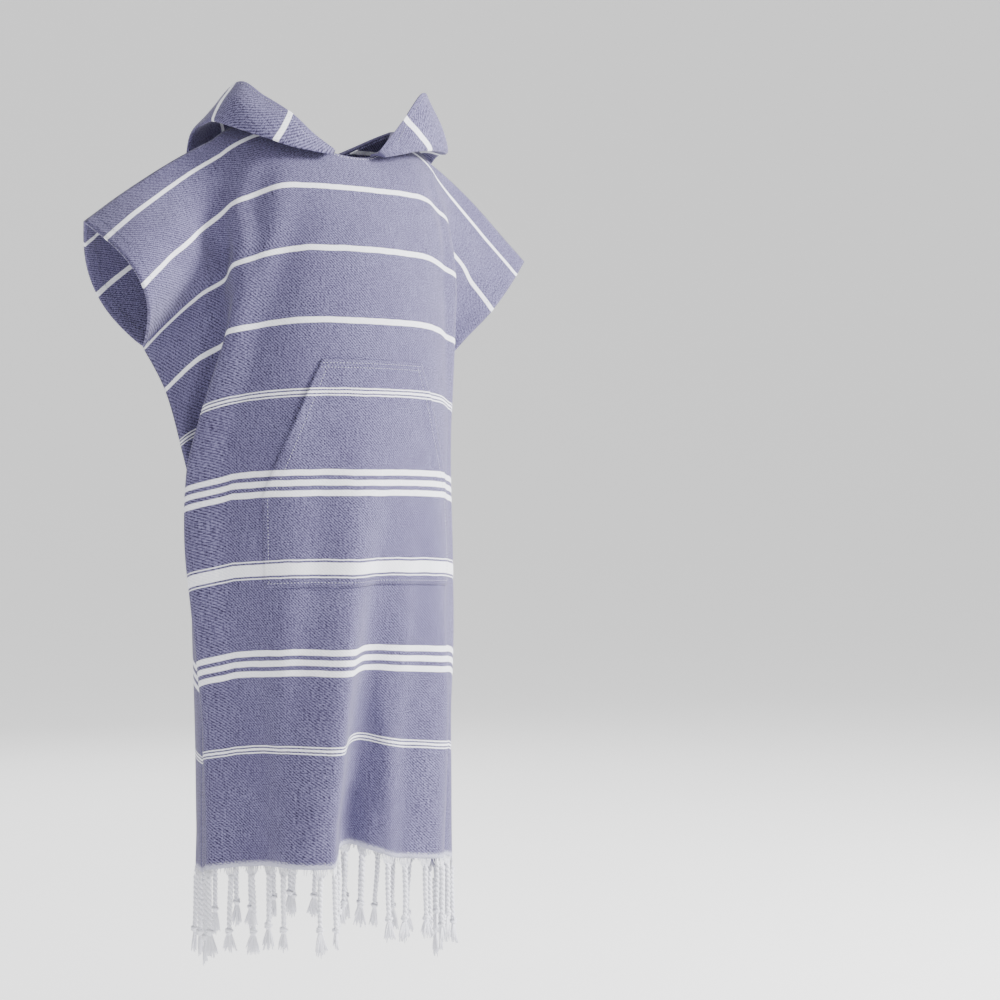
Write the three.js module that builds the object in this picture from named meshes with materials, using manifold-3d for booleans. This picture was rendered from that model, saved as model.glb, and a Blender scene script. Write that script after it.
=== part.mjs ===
// A hooded bath poncho of fringed flat-woven towel cloth, hollow as it hangs when worn, with its hood down.
// Millimetres, +Z up, front towards -Y. The origin is where the shoulders hold it: the middle of the
// shoulder line, level with the two ends of the neck opening.
//
// Every panel is cut flat and then hung. "across" is a flat distance from the centre line and "flat" is a
// height on the cut, from 0 at the woven hem to LENGTH at the shoulder line.
import * as THREE from "three";
import { mergeVertices } from "three/addons/utils/BufferGeometryUtils.js";
import Module from "manifold-3d";

// A table: one object for each row, with its columns by name
function table(columns, rows) {
  const names = columns.split(" ");
  return rows.map((row) => Object.fromEntries(names.map((name, i) => [name, row[i]])));
}

// The cut
const LENGTH = 1080;
const NECK_HALF = 107;
const NECK_SHARE = 0.26;
const NECK_DROP = { front: 90, back: 78 };
const NECK_ROUND = { across: 2.4, level: 1.2 };
const NECK_BLEND_FROM = 880;
const CUFF_FOOT = 848;
const HOOD_GAP_HALF = 30;
const POCKET = { foot: 380, bend: 505, top: 688, footShare: 0.567, topShare: 0.26 };
const HEM_STRIP = 7;

// The cloth
const WALL = 2;
const HOOD_WALL = 1.8;
const POCKET_WALL = 1.6;
const SEAM_GAP = 0.3;
const HALF_SEAM = 0.18;
const HOOD_LIFT = 0.6;

// The top of each cuff, and how far its front and back edges stand off the line from its top to its foot
const CUFFS = {
  right: { x: 360, y: 20, z: -159, front: -82, back: 64 },
  left: { x: 360, y: 20, z: -166, front: -18, back: 86 },
};
const CUFF_LIFT = 0.08;
const CUFF_ROUND = 0.75;

// The hung panel, one row for each level of the cut. halfFlat is the cut's half width. front and back are
// the depths of the ring round the hollow, and frontZ and backZ the heights on the centre lines. wing is 0
// where the ring closes round the side and 1 where it runs out along the sleeve. From flatUntil, a share
// of the row, on, the row drops towards the seam.
const HANG = table("flat halfFlat front back frontZ backZ seamY wing flatUntil", [
  [0, 300, 138, 135, -1024, -1036, 8, 0, 0],
  [160, 300, 139, 133, -866, -876, 8, 0, 0],
  [278, 300, 141, 132, -749, -758, 8, 0, 0],
  [405, 300, 142, 130, -622, -631, 9, 0, 0],
  [521, 301, 145, 129, -506, -514, 10, 0.1, 0.05],
  [644, 318, 148, 128, -383, -390, 12, 0.45, 0.1],
  [741, 352, 146, 126, -286, -292, 15, 0.8, 0.18],
  [848, 410, 133, 119, -178, -184, 21, 1, 0.22],
  [935, 410, 106, 102, -101, -100, 21, 1, 0.24],
  [990, 410, 77, 77, -53, -52, 21, 1, 0.24],
  [1035, 410, 41, 42, -20, -20, 21, 1, 0.24],
  [1080, 410, 2, 2, 0, 0, 21, 1, 0.24],
]);

// Each side of it: the ring's half width, the side seam or the foot of the cuff, and the power of the drop
const SIDES = {
  right: table("flat half seamX seamZ power", [
    [0, 190, 190, -1042, 2.2],
    [160, 190, 190, -888, 2.4],
    [278, 192, 192, -782, 2.8],
    [405, 196, 196, -660, 2.8],
    [521, 198, 200, -550, 2.6],
    [644, 196, 222, -452, 2.2],
    [741, 192, 243, -380, 1.9],
    [848, 190, 274, -321, 1.6],
    [935, 190, 274, -321, 1.5],
    [990, 192, 274, -321, 1.45],
    [1035, 196, 274, -321, 1.4],
    [1080, 200, 274, -321, 1.4],
  ]),
  left: table("flat half seamX seamZ power", [
    [0, 197, 197, -1090, 1.5],
    [160, 198, 198, -926, 1.6],
    [278, 200, 200, -796, 1.9],
    [405, 197, 197, -664, 2.4],
    [521, 189, 191, -548, 2.4],
    [644, 184, 201, -450, 2.2],
    [741, 182, 213, -380, 1.9],
    [848, 182, 232, -309, 1.6],
    [935, 184, 232, -309, 1.5],
    [990, 190, 232, -309, 1.45],
    [1035, 194, 232, -309, 1.4],
    [1080, 198, 232, -309, 1.4],
  ]),
};
// The ring turns from chest to sleeve at this angle from the centre line
const TURN_ANGLE = THREE.MathUtils.degToRad(64);
const SIDE_PULL = 0.75;

// The largest folds. top and foot are the levels between which a fold grows to its full depth, which is
// positive for a ridge. acrossTop and acrossFoot are its place at those levels, negative towards the
// wearer's right arm. width is half its flat width, lean pushes its crest sideways so that it overhangs,
// lift raises the cloth there, and fade is the level at which it has died away again, or 0.
const FOLD_COLUMNS = "top foot acrossTop acrossFoot width depth lean lift fade";
const FOLDS = {
  front: table(FOLD_COLUMNS, [
    [700, 60, 0, -100, 62, 26, 16, -3, 0],
    [560, 40, 34, -26, 62, -34, 0, 4, 0],
    [300, -10, -2, -24, 74, -3, 0, 15, 0],
    [620, 60, 150, 108, 58, 18, 8, -2, 0],
    [520, 40, 205, 176, 44, -14, 0, 2, 0],
    [900, 560, -168, -262, 46, 24, -18, -2, 120],
    [820, 600, -225, -298, 42, -24, 0, 0, 200],
    [640, 420, -250, -262, 40, 12, -6, 0, 0],
    [560, 60, -190, -186, 48, -12, 0, 0, 0],
    [480, 80, -120, -140, 40, 6, 0, 0, 0],
    [1010, 860, -205, -214, 38, 14, 0, 0, 620],
    [980, 840, -262, -250, 40, -14, 0, 0, 620],
    [1020, 860, 208, 216, 38, 16, 0, 0, 560],
    [980, 820, 264, 262, 42, -12, 0, 0, 560],
    [800, 620, 214, 236, 36, 10, 6, 0, 120],
  ]),
  back: table(FOLD_COLUMNS, [
    [640, 60, 40, 62, 60, 24, -14, -3, 0],
    [600, 40, -20, -10, 62, -32, 0, 5, 0],
    [300, -10, -12, -8, 72, -3, 0, 12, 0],
    [600, 60, -130, -120, 60, 16, 0, 0, 0],
    [560, 60, -205, -200, 46, -14, 0, 0, 0],
    [620, 300, 258, 262, 44, 12, 0, 0, 0],
    [620, 80, 190, 182, 52, -13, 0, 0, 0],
    [1020, 800, 246, 262, 42, 22, 0, 0, 600],
    [1000, 760, 192, 205, 44, -14, 0, 0, 480],
    [1020, 800, -240, -256, 42, 18, 0, 0, 600],
    [1000, 760, -188, -200, 44, -13, 0, 0, 480],
    [700, 500, 236, 246, 40, 11, 0, 0, 120],
    [780, 420, 110, 120, 50, 9, 0, 0, 100],
    [780, 420, -60, -80, 50, 7, 0, 0, 100],
  ]),
};
// Folds die away over this share of the row next to the side seam and the cuff
const FOLD_EDGE = 0.1;

// Grid lines of a body panel: shares of the half width, and levels of the cut
const COLUMNS = [
  0, 0.065, 0.13, 0.195, 0.26, 0.337, 0.413, 0.49, 0.567, 0.63, 0.69, 0.75, 0.81, 0.87, 0.935, 1,
];
const LEVELS = [
  0, 35, 75, 120, 165, 210, 255, 300, 340, 380, 411.25, 442.5, 473.75, 505, 550.75, 596.5, 642.25, 688, 730,
  770, 809, 848, 880, 912, 942, 970, 998, 1022, 1042, 1062, 1080,
];

// The hood, down: one row for each place along the neck seam, from its front end to the centre back. The
// cloth stands up from the seam, rolls over at the roll and comes up again to the rim of the face
// opening. bulge pushes the outer face out, and bow lifts the inner one off the shoulder. x is given for
// the wearer's left and mirrored for the right.
const HOOD_COLUMNS = "along rollX rollY rollZ rimX rimY rimZ bulge stand bow";
const HOOD = {
  left: table(HOOD_COLUMNS, [
    [0, 42, -93, -50, 34, -88, -44, 0, 3.5, 1],
    [0.1, 70, -90, -43, 53, -84, -23, 2, 3, 3],
    [0.2, 102, -82, -35, 82, -77, 8, 5, 3, 5],
    [0.3, 142, -62, -27, 126, -58, 54, 7, 4, 7],
    [0.4, 180, -38, -24, 156, -26, 38, 8, 4, 8],
    [0.5, 196, 16, -24, 160, 24, -4, 9, 4, 10],
    [0.62, 192, 84, -76, 140, 76, -54, 12, 5, 18],
    [0.75, 152, 132, -156, 104, 118, -74, 14, 7, 27],
    [0.88, 82, 150, -222, 54, 142, -84, 14, 6, 30],
    [1, 0, 156, -246, 0, 150, -88, 14, 6, 30],
  ]),
  right: table(HOOD_COLUMNS, [
    [0, 44, -93, -54, 38, -88, -46, 0, 3.5, 1],
    [0.1, 78, -93, -52, 66, -84, -28, 2, 4, 3],
    [0.2, 110, -88, -47, 96, -76, -2, 4, 5, 5],
    [0.3, 142, -74, -36, 124, -48, 24, 7, 7, 7],
    [0.4, 174, -38, -20, 147, -14, 47, 8, 8, 9],
    [0.5, 186, 6, -11, 168, 30, 8, 6, 8, 12],
    [0.62, 188, 56, -34, 154, 78, -18, 8, 8, 20],
    [0.75, 154, 124, -138, 110, 118, -58, 14, 7, 27],
    [0.88, 82, 150, -216, 56, 142, -80, 14, 6, 30],
    [1, 0, 156, -246, 0, 150, -88, 14, 6, 30],
  ]),
};
// A section of the hood: its steps over the curve, two points before the roll, and the pull of the neck
const HOOD_SECTION = { steps: 15, near: 0.28, far: 0.66, farBow: 0.8, outer: 0.5, neckPull: 0.3 };

// The fringe: strands along each hem, and a strand's rings from its root to its loose end
const FRINGE = { count: 21, length: 118, rootDepth: 0.55, twist: 70 };
const STRAND = table("at wide deep", [
  [0, 3.8, 3.8],
  [0.4, 3.8, 3.8],
  [0.67, 3.8, 3.8],
  [0.72, 5.6, 5.6],
  [0.78, 4.4, 4.4],
  [1, 8, 4.8],
]);
const STRAND_SPREAD = { share: 0.03, along: 0.1, out: 0.06, shortest: 0.92, range: 0.14 };

// Small helpers
const vec = (x, y, z) => new THREE.Vector3(x, y, z);
const clamp01 = (t) => Math.min(1, Math.max(0, t));
const mix = (a, b, t) => a + (b - a) * t;
const ease = (t) => clamp01(t) ** 2 * (3 - 2 * clamp01(t));
const ROUNDING = 0.001;

// A smooth curve through table rows: each column at a place along the key column
function tableAt(rows, key, at) {
  let i = 0;
  while (i < rows.length - 2 && at > rows[i + 1][key]) i += 1;
  const row = rows[i];
  const next = rows[i + 1];
  const before = rows[Math.max(0, i - 1)];
  const after = rows[Math.min(rows.length - 1, i + 2)];
  const step = next[key] - row[key];
  const t = (at - row[key]) / step;
  const found = {};
  for (const column of Object.keys(row)) {
    const rise = next[column] - row[column];
    const slope = (from, to) => ((to[column] - from[column]) / (to[key] - from[key])) * step;
    const slopeIn = before === row ? rise : slope(before, next);
    const slopeOut = after === next ? rise : slope(row, after);
    const t2 = t * t;
    const t3 = t2 * t;
    found[column] =
      row[column] * (2 * t3 - 3 * t2 + 1) +
      slopeIn * (t3 - 2 * t2 + t) +
      next[column] * (3 * t2 - 2 * t3) +
      slopeOut * (t3 - t2);
  }
  return found;
}

// One row of a panel on one side, as points with x outwards, from the centre line to the seam or the cuff
const ROW_SAMPLES = 48;
function rowCurve(flat, face, hand) {
  const row = tableAt(HANG, "flat", flat);
  const { half, seamX, seamZ, power } = tableAt(SIDES[hand], "flat", flat);
  const depth = row[face];
  const centreZ = row[`${face}Z`];
  const side = face === "front" ? -1 : 1;
  const end = cuffOrSeam(vec(seamX, row.seamY, seamZ), flat, face, hand);
  const centreY = mix(row.seamY, 0, row.wing);
  const turned = vec(half * Math.sin(TURN_ANGLE), centreY + side * depth * Math.cos(TURN_ANGLE), 0);
  const reach = Math.hypot(end.x - turned.x, end.y - turned.y);
  const startTangent = vec(half * Math.cos(TURN_ANGLE), -side * depth * Math.sin(TURN_ANGLE), 0);
  startTangent.setLength(reach);
  const endTangent = vec(row.wing, -side * (1 - row.wing) * (1 - SIDE_PULL * row.wing), 0).setLength(reach);
  const points = [];
  for (let i = 0; i <= ROW_SAMPLES; i += 1) {
    const s = i / ROW_SAMPLES;
    const p = vec(0, 0, 0);
    if (s <= 0.5) {
      const angle = TURN_ANGLE * s * 2;
      p.set(half * Math.sin(angle), centreY + side * depth * Math.cos(angle), 0);
    } else {
      const t = s * 2 - 1;
      const t2 = t * t;
      const t3 = t2 * t;
      p.addScaledVector(turned, 2 * t3 - 3 * t2 + 1);
      p.addScaledVector(startTangent, t3 - 2 * t2 + t);
      p.addScaledVector(vec(end.x, end.y, 0), 3 * t2 - 2 * t3);
      p.addScaledVector(endTangent, t3 - t2);
    }
    const out = Math.max(0, (s - row.flatUntil) / (1 - row.flatUntil));
    p.z = mix(centreZ, end.z, out ** power);
    points.push(p);
  }
  return points;
}

// The end of a row: the side seam, or above the foot of the cuff the cuff's front or back edge
function cuffOrSeam(seam, flat, face, hand) {
  const cuff = CUFFS[hand];
  const t = clamp01((flat - CUFF_FOOT) / (LENGTH - CUFF_FOOT));
  const up = t + CUFF_LIFT * Math.sin(Math.PI * t);
  const end = seam.lerp(vec(cuff.x, cuff.y, cuff.z), up);
  end.y += cuff[face] * Math.sin(Math.PI * t ** CUFF_ROUND);
  return end;
}

// The place on a row at a share of its length, with the direction that the row runs in there
function alongRow(points, share) {
  const lengths = [0];
  for (let i = 1; i < points.length; i += 1) lengths.push(lengths[i - 1] + points[i].distanceTo(points[i - 1]));
  const wanted = share * lengths[lengths.length - 1];
  let i = 1;
  while (i < lengths.length - 1 && lengths[i] < wanted) i += 1;
  const t = (wanted - lengths[i - 1]) / (lengths[i] - lengths[i - 1]);
  return {
    place: points[i - 1].clone().lerp(points[i], t),
    direction: points[i].clone().sub(points[i - 1]).normalize(),
  };
}

// The level that a grid level reaches at a place across, lower inside the neck opening
function levelAt(level, across, face) {
  const dip = NECK_DROP[face] * (1 - clamp01(Math.abs(across) / NECK_HALF) ** NECK_ROUND.across);
  return level - dip * clamp01((level - NECK_BLEND_FROM) / (LENGTH - NECK_BLEND_FROM)) ** NECK_ROUND.level;
}

// A point of the hung front or back. share is -1 at the wearer's right seam and 1 at the left one.
function bodyPoint(share, level, face) {
  const across = share * tableAt(HANG, "flat", level).halfFlat;
  const flat = levelAt(level, across, face);
  const mirror = share < 0 ? -1 : 1;
  const side = face === "front" ? -1 : 1;
  const { place, direction } = alongRow(rowCurve(flat, face, share < 0 ? "right" : "left"), Math.abs(share));
  const outward = vec(-side * mirror * direction.y, side * direction.x, 0).normalize();
  const sideways = vec(direction.x, mirror * direction.y, 0);
  const edge = ease((1 - Math.abs(share)) / FOLD_EDGE);
  place.x *= mirror;
  for (const fold of FOLDS[face]) {
    const push = foldAt(fold, across, flat) * edge;
    place.addScaledVector(outward, fold.depth * push);
    place.addScaledVector(sideways, fold.lean * push * push);
    place.z += fold.lift * push;
  }
  return place;
}

// How much of a fold's depth there is at a place on the cut
function foldAt(fold, across, flat) {
  const grown = (fold.top - flat) / (fold.top - fold.foot);
  const middle = mix(fold.acrossTop, fold.acrossFoot, clamp01(grown));
  const from = (across - middle) / fold.width;
  if (Math.abs(from) >= 1 || grown <= 0) return 0;
  const fading = fold.fade > 0 ? ease((flat - fold.fade) / (fold.foot - fold.fade)) : 1;
  return 0.5 * (1 + Math.cos(Math.PI * from)) * ease(grown) * fading;
}

// A sheet: points with normals, and triangles between them
class Sheet {
  constructor() {
    this.points = [];
    this.triangles = [];
  }
  add(point) {
    this.points.push(point);
    return this.points.length - 1;
  }
  // normals that point to the side from which the triangles run anticlockwise
  findNormals() {
    this.normals = this.points.map(() => vec(0, 0, 0));
    for (const [a, b, c] of this.triangles) {
      const normal = new THREE.Triangle(this.points[a], this.points[b], this.points[c]);
      const area = normal.getNormal(vec(0, 0, 0)).multiplyScalar(normal.getArea());
      for (const i of [a, b, c]) this.normals[i].add(area);
    }
    for (const normal of this.normals) normal.normalize();
  }
}

// A wall between two distances from a sheet, closed along the sheet's edges, as one closed geometry
function wallOf(sheet, inner, outer, triangles = sheet.triangles) {
  const positions = [];
  const corner = (i, distance) => {
    const p = sheet.points[i].clone().addScaledVector(sheet.normals[i], distance);
    positions.push(p.x, p.y, p.z);
  };
  const edges = new Set(triangles.flatMap(([a, b, c]) => [`${a}_${b}`, `${b}_${c}`, `${c}_${a}`]));
  for (const [a, b, c] of triangles) {
    for (const i of [a, b, c]) corner(i, outer);
    for (const i of [a, c, b]) corner(i, inner);
    for (const [from, to] of [[a, b], [b, c], [c, a]]) {
      if (edges.has(`${to}_${from}`)) continue;
      corner(from, outer);
      corner(from, inner);
      corner(to, outer);
      corner(to, outer);
      corner(from, inner);
      corner(to, inner);
    }
  }
  const geometry = new THREE.BufferGeometry();
  geometry.setAttribute("position", new THREE.Float32BufferAttribute(positions, 3));
  return geometry;
}

// A sheet on a grid. pointAt gives the point of a column and a row, and flip turns the sheet over.
function gridSheet(columns, rows, pointAt, flip, leansLeft) {
  const sheet = new Sheet();
  sheet.columns = columns;
  for (let j = 0; j < rows; j += 1) for (let i = 0; i < columns; i += 1) sheet.add(pointAt(i, j));
  for (let j = 0; j < rows - 1; j += 1) {
    for (let i = 0; i < columns - 1; i += 1) {
      const a = j * columns + i;
      const b = a + 1;
      const c = a + columns;
      const d = c + 1;
      const pair = leansLeft(i, j) ? [[a, b, c], [b, d, c]] : [[a, b, d], [a, d, c]];
      for (const t of pair) sheet.triangles.push(flip ? [t[0], t[2], t[1]] : t);
    }
  }
  sheet.findNormals();
  return sheet;
}

// The two body panels on one grid, so that their seams match point for point
const SHARES = [...COLUMNS.slice(1).reverse().map((share) => -share), ...COLUMNS];
const MIDDLE_COLUMN = COLUMNS.length - 1;
const LAST_COLUMN = SHARES.length - 1;
const LAST_LEVEL = LEVELS.length - 1;

function bodySheet(face) {
  const pointAt = (i, j) => bodyPoint(SHARES[i], LEVELS[j], face);
  return gridSheet(SHARES.length, LEVELS.length, pointAt, face === "back", (i) => i >= MIDDLE_COLUMN);
}

// Where front and back are sewn, both get the same normal, and each is drawn back by half the seam's gap
function sewBodies(front, back) {
  const sewn = [];
  for (let j = 0; j <= LAST_LEVEL; j += 1) {
    if (LEVELS[j] <= CUFF_FOOT) sewn.push([0, j], [LAST_COLUMN, j]);
  }
  SHARES.forEach((share, i) => {
    if (Math.abs(share) >= NECK_SHARE) sewn.push([i, LAST_LEVEL]);
  });
  for (const [i, j] of sewn) {
    const at = j * front.columns + i;
    const normal = front.normals[at].clone().add(back.normals[at]).normalize();
    const seam = front.points[at].clone().lerp(back.points[at], 0.5);
    const inwardI = i === 0 ? 1 : i === LAST_COLUMN ? i - 1 : i;
    const inwardJ = j === LAST_LEVEL ? j - 1 : j;
    for (const sheet of [front, back]) {
      const inside = sheet.points[inwardJ * front.columns + inwardI].clone().sub(seam);
      inside.addScaledVector(normal, -inside.dot(normal)).normalize();
      sheet.points[at].copy(seam).addScaledVector(inside, HALF_SEAM);
      sheet.normals[at].copy(normal);
    }
  }
}

const front = bodySheet("front");
const back = bodySheet("back");
sewBodies(front, back);

// The pocket: the front's own triangles inside its outline, moved out
function pocketTriangles() {
  const inside = (i) => {
    const share = Math.abs(SHARES[i % SHARES.length]);
    const level = LEVELS[Math.floor(i / SHARES.length)];
    const up = clamp01((level - POCKET.bend) / (POCKET.top - POCKET.bend));
    const widest = mix(POCKET.footShare, POCKET.topShare, up);
    return level >= POCKET.foot && level <= POCKET.top && share <= widest + ROUNDING;
  };
  return front.triangles.filter((corners) => corners.every(inside));
}

// The neck edge on one side, from the hood's front end round to the centre back. pointAt gives a point
// with its normal, and stops are the hood's columns: the edge's own points and one between each two.
function neckEdge(mirror) {
  const top = LAST_LEVEL * SHARES.length;
  const corner = MIDDLE_COLUMN + mirror * COLUMNS.indexOf(NECK_SHARE);
  const edge = [];
  for (let i = MIDDLE_COLUMN; i !== corner; i += mirror) edge.push([front, top + i]);
  for (let i = corner; i !== MIDDLE_COLUMN - mirror; i -= mirror) edge.push([back, top + i]);
  const places = edge.map(([sheet, at]) => ({ place: sheet.points[at], normal: sheet.normals[at] }));
  const ends = [0];
  for (let i = 1; i < places.length; i += 1) {
    ends.push(ends[i - 1] + places[i].place.distanceTo(places[i - 1].place));
  }
  const total = ends[ends.length - 1];
  const pointAt = (along) => {
    const wanted = mix(HOOD_GAP_HALF, total, along);
    let i = 1;
    while (i < ends.length - 1 && ends[i] < wanted) i += 1;
    const t = (wanted - ends[i - 1]) / (ends[i] - ends[i - 1]);
    return {
      place: places[i - 1].place.clone().lerp(places[i].place, t),
      normal: places[i - 1].normal.clone().lerp(places[i].normal, t).normalize(),
    };
  };
  const stops = [0];
  for (const end of ends.filter((length) => length > HOOD_GAP_HALF)) {
    const along = (end - HOOD_GAP_HALF) / (total - HOOD_GAP_HALF);
    stops.push((stops[stops.length - 1] + along) / 2, along);
  }
  return { pointAt, stops };
}

// One half of the hood: sections from the neck seam over the roll to the rim, at even steps of length
function hoodSheet(hand) {
  const mirror = hand === "left" ? 1 : -1;
  const { pointAt, stops } = neckEdge(mirror);
  const sections = stops.map((along) => {
    const row = tableAt(HOOD[hand], "along", along);
    const seam = pointAt(along);
    const lift = WALL / 2 + HOOD_LIFT;
    const foot = seam.place.clone().addScaledVector(seam.normal, lift);
    const up = seam.place.clone().addScaledVector(seam.normal, lift + row.stand);
    const roll = vec(mirror * row.rollX, row.rollY, row.rollZ);
    const rim = vec(mirror * row.rimX, row.rimY, row.rimZ);
    const outward = roll.clone().addScaledVector(foot, -HOOD_SECTION.neckPull).setZ(0).normalize();
    const run = roll.clone().sub(up).normalize();
    const away = seam.normal.clone().addScaledVector(run, -seam.normal.dot(run)).normalize();
    const near = up.clone().lerp(roll, HOOD_SECTION.near).addScaledVector(away, row.bow);
    const far = up.clone().lerp(roll, HOOD_SECTION.far).addScaledVector(away, row.bow * HOOD_SECTION.farBow);
    const outer = roll.clone().lerp(rim, HOOD_SECTION.outer).addScaledVector(outward, row.bulge);
    const curve = new THREE.CatmullRomCurve3([up, near, far, roll, outer, rim], false, "centripetal");
    const section = [foot, ...curve.getSpacedPoints(HOOD_SECTION.steps - 1)];
    if (along === 1) for (const p of section) p.x = mirror * HALF_SEAM;
    return section;
  });
  const rows = HOOD_SECTION.steps + 1;
  const sheet = gridSheet(stops.length, rows, (i, j) => sections[i][j], mirror < 0, () => false);
  for (let j = 1; j <= rows; j += 1) sheet.normals[j * stops.length - 1].setX(0).normalize();
  return sheet;
}

// The fringe: a strip parted from the woven hem, and twisted strands fused into it
const wasm = await Module();
wasm.setup();

function solidOf(geometry) {
  const bare = new THREE.BufferGeometry().setAttribute("position", geometry.getAttribute("position"));
  if (geometry.index) bare.setIndex(geometry.index);
  const merged = mergeVertices(bare, 1e-4);
  return new wasm.Manifold(
    new wasm.Mesh({
      numProp: 3,
      vertProperties: merged.attributes.position.array,
      triVerts: new Uint32Array(merged.index.array),
    }),
  );
}

function geometryOf(solid) {
  const mesh = solid.getMesh();
  const geometry = new THREE.BufferGeometry();
  geometry.setAttribute("position", new THREE.Float32BufferAttribute(mesh.vertProperties, 3));
  geometry.setIndex(new THREE.Uint32BufferAttribute(mesh.triVerts, 1));
  return geometry.toNonIndexed();
}

function hemPoint(sheet, share) {
  let i = 0;
  while (i < SHARES.length - 2 && share > SHARES[i + 1]) i += 1;
  const t = (share - SHARES[i]) / (SHARES[i + 1] - SHARES[i]);
  return {
    place: sheet.points[i].clone().lerp(sheet.points[i + 1], t),
    normal: sheet.normals[i].clone().lerp(sheet.normals[i + 1], t).normalize(),
  };
}

// A strand hangs from its root as a tube of four sides: cord, knot and a loose end
function strandGeometry(root, outward, lean, length) {
  const sideways = vec(outward.y, -outward.x, 0).normalize();
  const rings = STRAND.map(({ at, wide, deep }) => {
    const centre = root.clone().add(vec(0, 0, -length * at));
    centre.addScaledVector(sideways, lean.along * length * at * at);
    centre.addScaledVector(outward, lean.out * length * at * at);
    return [0, 1, 2, 3].map((quarter) => {
      const turn = THREE.MathUtils.degToRad(45 + 90 * quarter + FRINGE.twist * at);
      const corner = centre.clone().addScaledVector(sideways, wide * Math.cos(turn));
      return corner.addScaledVector(outward, deep * Math.sin(turn));
    });
  });
  const positions = [];
  const face = (...points) => points.forEach((p) => positions.push(p.x, p.y, p.z));
  for (let i = 0; i < rings.length - 1; i += 1) {
    for (let k = 0; k < 4; k += 1) {
      const next = (k + 1) % 4;
      face(rings[i][k], rings[i + 1][k], rings[i][next]);
      face(rings[i][next], rings[i + 1][k], rings[i + 1][next]);
    }
  }
  const first = rings[0];
  const last = rings[rings.length - 1];
  face(first[0], first[1], first[2]);
  face(first[0], first[2], first[3]);
  face(last[0], last[2], last[1]);
  face(last[0], last[3], last[2]);
  const geometry = new THREE.BufferGeometry();
  geometry.setAttribute("position", new THREE.Float32BufferAttribute(positions, 3));
  return geometry;
}

// A repeatable number from 0 to 1 for each strand
const scatter = (n) => Math.abs(Math.sin(n * 12.9898 + 4.1) * 43758.5453) % 1;

function fringeGeometry(sheet, seed) {
  const strip = new Sheet();
  const hem = sheet.points.slice(0, SHARES.length);
  const hemNormals = sheet.normals.slice(0, SHARES.length);
  for (const drop of [SEAM_GAP, SEAM_GAP + HEM_STRIP]) {
    for (const point of hem) strip.add(point.clone().add(vec(0, 0, -drop)));
  }
  strip.normals = [...hemNormals, ...hemNormals];
  for (let i = 0; i < LAST_COLUMN; i += 1) {
    const below = SHARES.length + i;
    for (const [a, b, c] of [[i, below, i + 1], [below, below + 1, i + 1]]) {
      strip.triangles.push(sheet === back ? [a, c, b] : [a, b, c]);
    }
  }
  let solid = solidOf(wallOf(strip, -WALL / 2, WALL / 2));
  for (let n = 0; n < FRINGE.count; n += 1) {
    const chance = (times) => scatter(n * times + seed);
    const share = ((n + 0.5) / FRINGE.count) * 2 - 1 + STRAND_SPREAD.share * (chance(1) - 0.5);
    const { place, normal } = hemPoint(sheet, share);
    const root = place.clone().add(vec(0, 0, -SEAM_GAP - HEM_STRIP * FRINGE.rootDepth));
    const lean = { along: STRAND_SPREAD.along * (chance(3) - 0.5), out: STRAND_SPREAD.out * (chance(5) - 0.4) };
    const length = FRINGE.length * (STRAND_SPREAD.shortest + STRAND_SPREAD.range * chance(7));
    solid = solid.add(solidOf(strandGeometry(root, normal.setZ(0).normalize(), lean, length)));
  }
  return geometryOf(solid);
}

// The finished object
const CLOTH_COLOUR = 0x6f7399;
const FRINGE_COLOUR = 0xe6e7ef;
const poncho = new THREE.Group();

function addPiece(name, geometry, colour) {
  const material = new THREE.MeshStandardMaterial({ color: colour, roughness: 0.92, metalness: 0 });
  const mesh = new THREE.Mesh(geometry, material);
  mesh.name = name;
  poncho.add(mesh);
}

const bodyWall = (sheet) => wallOf(sheet, -WALL / 2, WALL / 2);
const hoodWall = (hand) => wallOf(hoodSheet(hand), -HOOD_WALL / 2, HOOD_WALL / 2);
const pocketFoot = WALL / 2 + SEAM_GAP;
addPiece("front", bodyWall(front), CLOTH_COLOUR);
addPiece("back", bodyWall(back), CLOTH_COLOUR);
addPiece("pocket", wallOf(front, pocketFoot, pocketFoot + POCKET_WALL, pocketTriangles()), CLOTH_COLOUR);
addPiece("hood_left", hoodWall("left"), CLOTH_COLOUR);
addPiece("hood_right", hoodWall("right"), CLOTH_COLOUR);
addPiece("fringe_front", fringeGeometry(front, 1), FRINGE_COLOUR);
addPiece("fringe_back", fringeGeometry(back, 50), FRINGE_COLOUR);

export default poncho;
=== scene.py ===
"""Looks of the hooded bath poncho: striped chambray twill, seams, stitching and twisted fringe.

Lengths are millimetres in the functions and metres in the meshes. "across" and "flat" are places on the
flat cut: the distance from the centre line and the height above the woven hem.
"""
import math

import bpy
import numpy as np
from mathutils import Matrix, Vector


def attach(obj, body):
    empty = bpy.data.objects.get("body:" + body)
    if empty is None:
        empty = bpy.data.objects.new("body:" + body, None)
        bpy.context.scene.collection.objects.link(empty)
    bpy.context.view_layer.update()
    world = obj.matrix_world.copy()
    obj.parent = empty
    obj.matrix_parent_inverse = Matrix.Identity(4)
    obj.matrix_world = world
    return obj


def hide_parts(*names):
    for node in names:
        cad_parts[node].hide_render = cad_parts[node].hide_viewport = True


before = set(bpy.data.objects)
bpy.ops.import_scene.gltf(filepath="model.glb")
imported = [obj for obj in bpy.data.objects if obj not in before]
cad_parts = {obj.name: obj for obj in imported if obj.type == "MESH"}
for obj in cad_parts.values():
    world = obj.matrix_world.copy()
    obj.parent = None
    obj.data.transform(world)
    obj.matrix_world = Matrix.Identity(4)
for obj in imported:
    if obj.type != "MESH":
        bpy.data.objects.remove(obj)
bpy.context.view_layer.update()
MM = 0.001

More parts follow.
